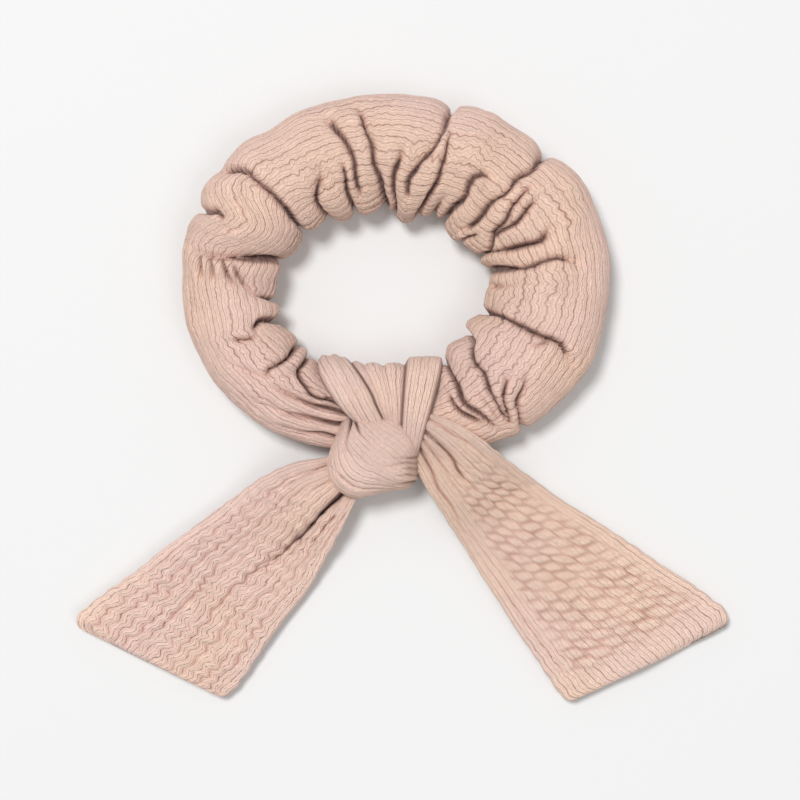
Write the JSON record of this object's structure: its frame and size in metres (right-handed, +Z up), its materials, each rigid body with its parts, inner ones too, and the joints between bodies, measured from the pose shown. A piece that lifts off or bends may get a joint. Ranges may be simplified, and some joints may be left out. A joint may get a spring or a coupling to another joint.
{
  "type": "bow scrunchie",
  "caption": "Gathered knit fabric scrunchie on an elastic loop, with a knit sash knotted round it and two flat tails, lying on a table.",
  "frame": {"origin": "bottom centre of the bounding box, on the table it lies on", "axes": "+Z up, +Y from the bow towards the ring, +X to the right as seen from above with the bow nearest"},
  "size_m": [0.1664, 0.1572, 0.0201],
  "materials": {
    "sleeve_knit": "matt ribbed knit, dusty pink",
    "sash_knit": "matt ribbed knit, dusty pink",
    "elastic": "covered elastic, ivory",
    "thread": "polyester thread, dusty pink"
  },
  "bodies": {
    "ring": {"sleeve": "sleeve_knit", "elastic_band": "elastic"},
    "bow": {"sash_wrap": "sash_knit", "sash_knot": "sash_knit", "sleeve_closing_thread": "thread", "elastic_join_thread": "thread"},
    "tail_left": {"sash_tail_left": "sash_knit"},
    "tail_right": {"sash_tail_right": "sash_knit"}
  },
  "joints": [
    {"name": "ring_stretch", "type": "slide", "parent": "ring", "child": "bow", "axis": [0, -1, 0], "range_m": [0, 0.05], "stiffness_N_per_m": 80, "deforming": ["sleeve", "elastic_band"]},
    {"name": "tail_left_lift", "type": "hinge", "parent": "bow", "child": "tail_left", "pos_m": [-0.01824, -0.02296, 0.0095], "axis": [-0.6858, 0.7278, 0], "range_deg": [-60, 75]},
    {"name": "tail_right_lift", "type": "hinge", "parent": "bow", "child": "tail_right", "pos_m": [0.00665, -0.02156, 0.0095], "axis": [-0.6374, -0.7705, 0], "range_deg": [-60, 75]}
  ]
}
